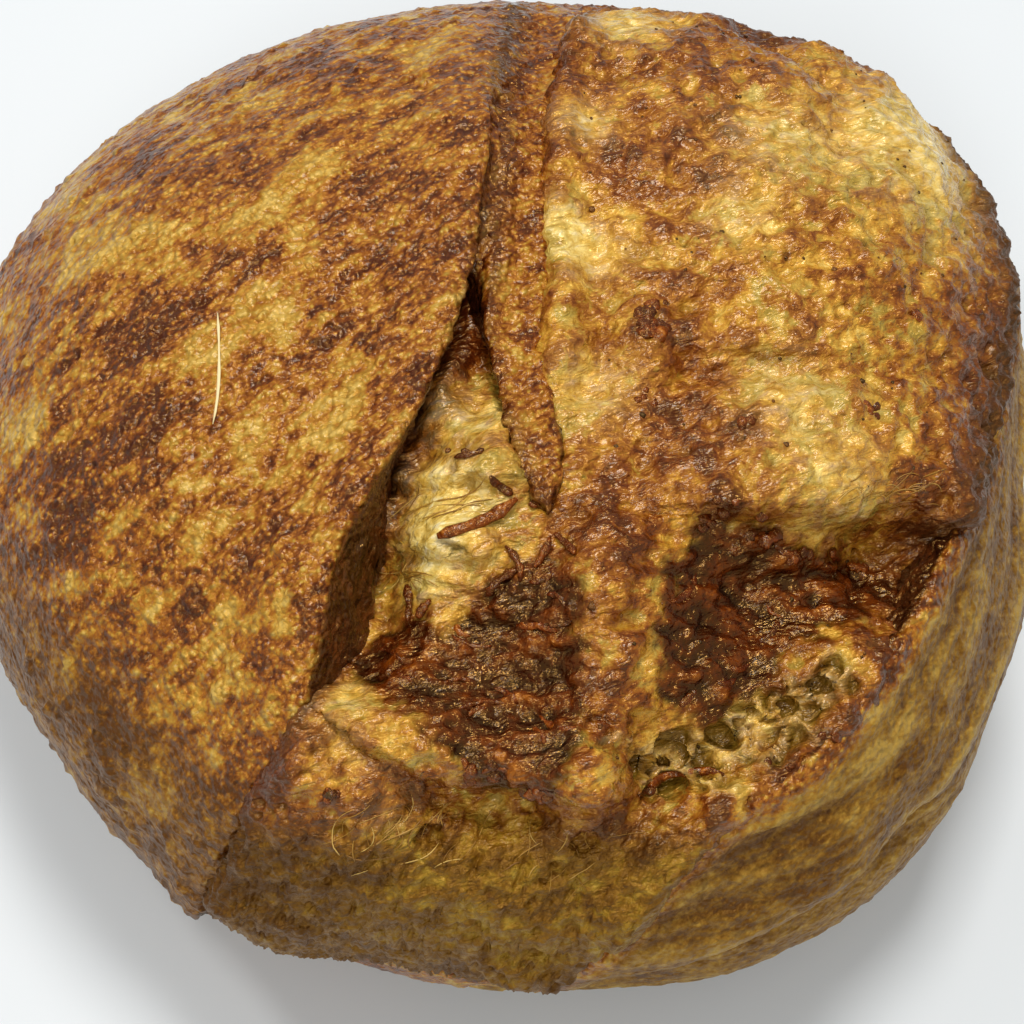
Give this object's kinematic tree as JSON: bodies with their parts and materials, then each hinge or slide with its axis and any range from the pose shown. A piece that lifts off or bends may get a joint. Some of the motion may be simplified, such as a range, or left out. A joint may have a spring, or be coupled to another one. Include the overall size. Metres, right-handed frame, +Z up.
{
  "type": "bread loaf",
  "caption": "Round crusty sourdough loaf, burst open along its score, with baked cheese on the torn crumb.",
  "frame": {"origin": "centre of the underside of the loaf's box, on the surface that it stands on", "axes": "+Z up out of the crust, +Y towards the back, where the ear's cut starts, +X to the right as seen from the front"},
  "size_m": [0.2324, 0.2296, 0.107],
  "materials": {
    "baked_crust": "satin"
  },
  "bodies": {
    "root": {"loaf": "baked_crust"}
  },
  "joints": []
}
